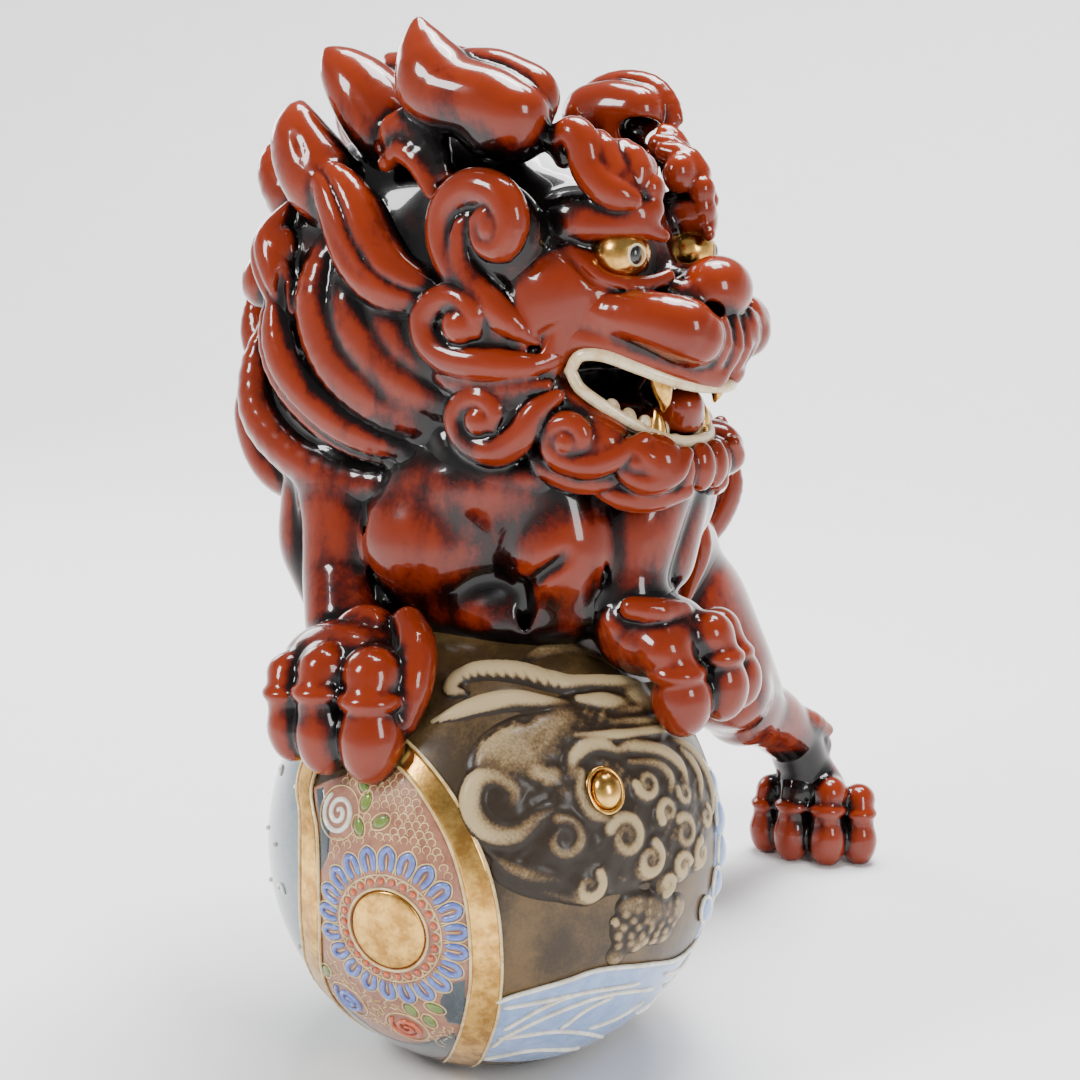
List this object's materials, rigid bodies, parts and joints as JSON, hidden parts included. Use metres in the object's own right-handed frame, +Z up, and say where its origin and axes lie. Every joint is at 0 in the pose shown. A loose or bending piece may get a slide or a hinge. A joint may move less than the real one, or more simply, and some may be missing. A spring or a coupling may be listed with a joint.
{
  "type": "foo dog statue",
  "caption": "Glazed ceramic guardian lion with a curled mane and open mouth, head turned aside, forepaws on a large decorated ball; a free-standing ornament.",
  "frame": {"origin": "centre of the footprint's bounding box, on the table that the ball's foot and the hind paws rest on", "axes": "+Z up; the chest and the ball face -Y and the rump +Y; the lion's left side is +X, the way the turned head looks"},
  "size_m": [0.1906, 0.302, 0.32],
  "materials": {
    "vermilion_glaze": "glossy red glaze brushed over black, darker in the recesses",
    "gilt": "burnished gold lustre on glaze",
    "ivory_enamel": "glossy ivory enamel",
    "biscuit_relief": "low relief with a thin brown wash rubbed back to cream",
    "ball_enamels": "brown ground with painted panels, raised enamel lines and gold bands",
    "blue_enamel": "pale blue enamel with raised white lines"
  },
  "bodies": {
    "root": {"ball": "ball_enamels", "ball_cloud": "biscuit_relief", "ball_dragon_eye": "gilt", "ball_dragon_face": "biscuit_relief", "ball_dragon_horn": "biscuit_relief", "ball_wave_crest": "blue_enamel", "beard_curl_front_left": "vermilion_glaze", "beard_curl_front_right": "vermilion_glaze", "beard_curl_middle_left": "vermilion_glaze", "beard_curl_middle_right": "vermilion_glaze", "beard_curl_rear_left": "vermilion_glaze", "beard_curl_rear_right": "vermilion_glaze", "brow_left": "vermilion_glaze", "brow_right": "vermilion_glaze", "cheek_curl_left": "vermilion_glaze", "cheek_curl_right": "vermilion_glaze", "chin_curl": "vermilion_glaze", "ear_left": "vermilion_glaze", "ear_right": "vermilion_glaze", "eye_left": "gilt", "eye_right": "gilt", "foreleg_left": "vermilion_glaze", "foreleg_right": "vermilion_glaze", "forepaw_left": "vermilion_glaze", "forepaw_right": "vermilion_glaze", "head": "vermilion_glaze", "hind_leg_left": "vermilion_glaze", "hind_leg_right": "vermilion_glaze", "hind_paw_left": "vermilion_glaze", "hind_paw_right": "vermilion_glaze", "lower_fang_left": "gilt", "lower_fang_right": "gilt", "lower_gum": "ivory_enamel", "lower_jaw": "vermilion_glaze", "mane": "vermilion_glaze", "mane_curl_side": "vermilion_glaze", "mane_lock_back": "vermilion_glaze", "mane_lock_back_low": "vermilion_glaze", "mane_lock_bib": "vermilion_glaze", "mane_lock_crown": "vermilion_glaze", "mane_lock_rear_high": "vermilion_glaze", "mane_lock_rear_low": "vermilion_glaze", "mane_lock_rear_middle": "vermilion_glaze", "mane_lock_side_high": "vermilion_glaze", "mane_lock_side_low": "vermilion_glaze", "mane_lock_side_middle": "vermilion_glaze", "mane_lock_top_rear": "vermilion_glaze", "mane_lock_top_side": "vermilion_glaze", "muzzle": "vermilion_glaze", "nose": "vermilion_glaze", "tail": "vermilion_glaze", "temple_curl_left": "vermilion_glaze", "temple_curl_right": "vermilion_glaze", "tongue": "vermilion_glaze", "torso": "vermilion_glaze", "upper_fang_left": "gilt", "upper_fang_right": "gilt"}
  },
  "joints": []
}
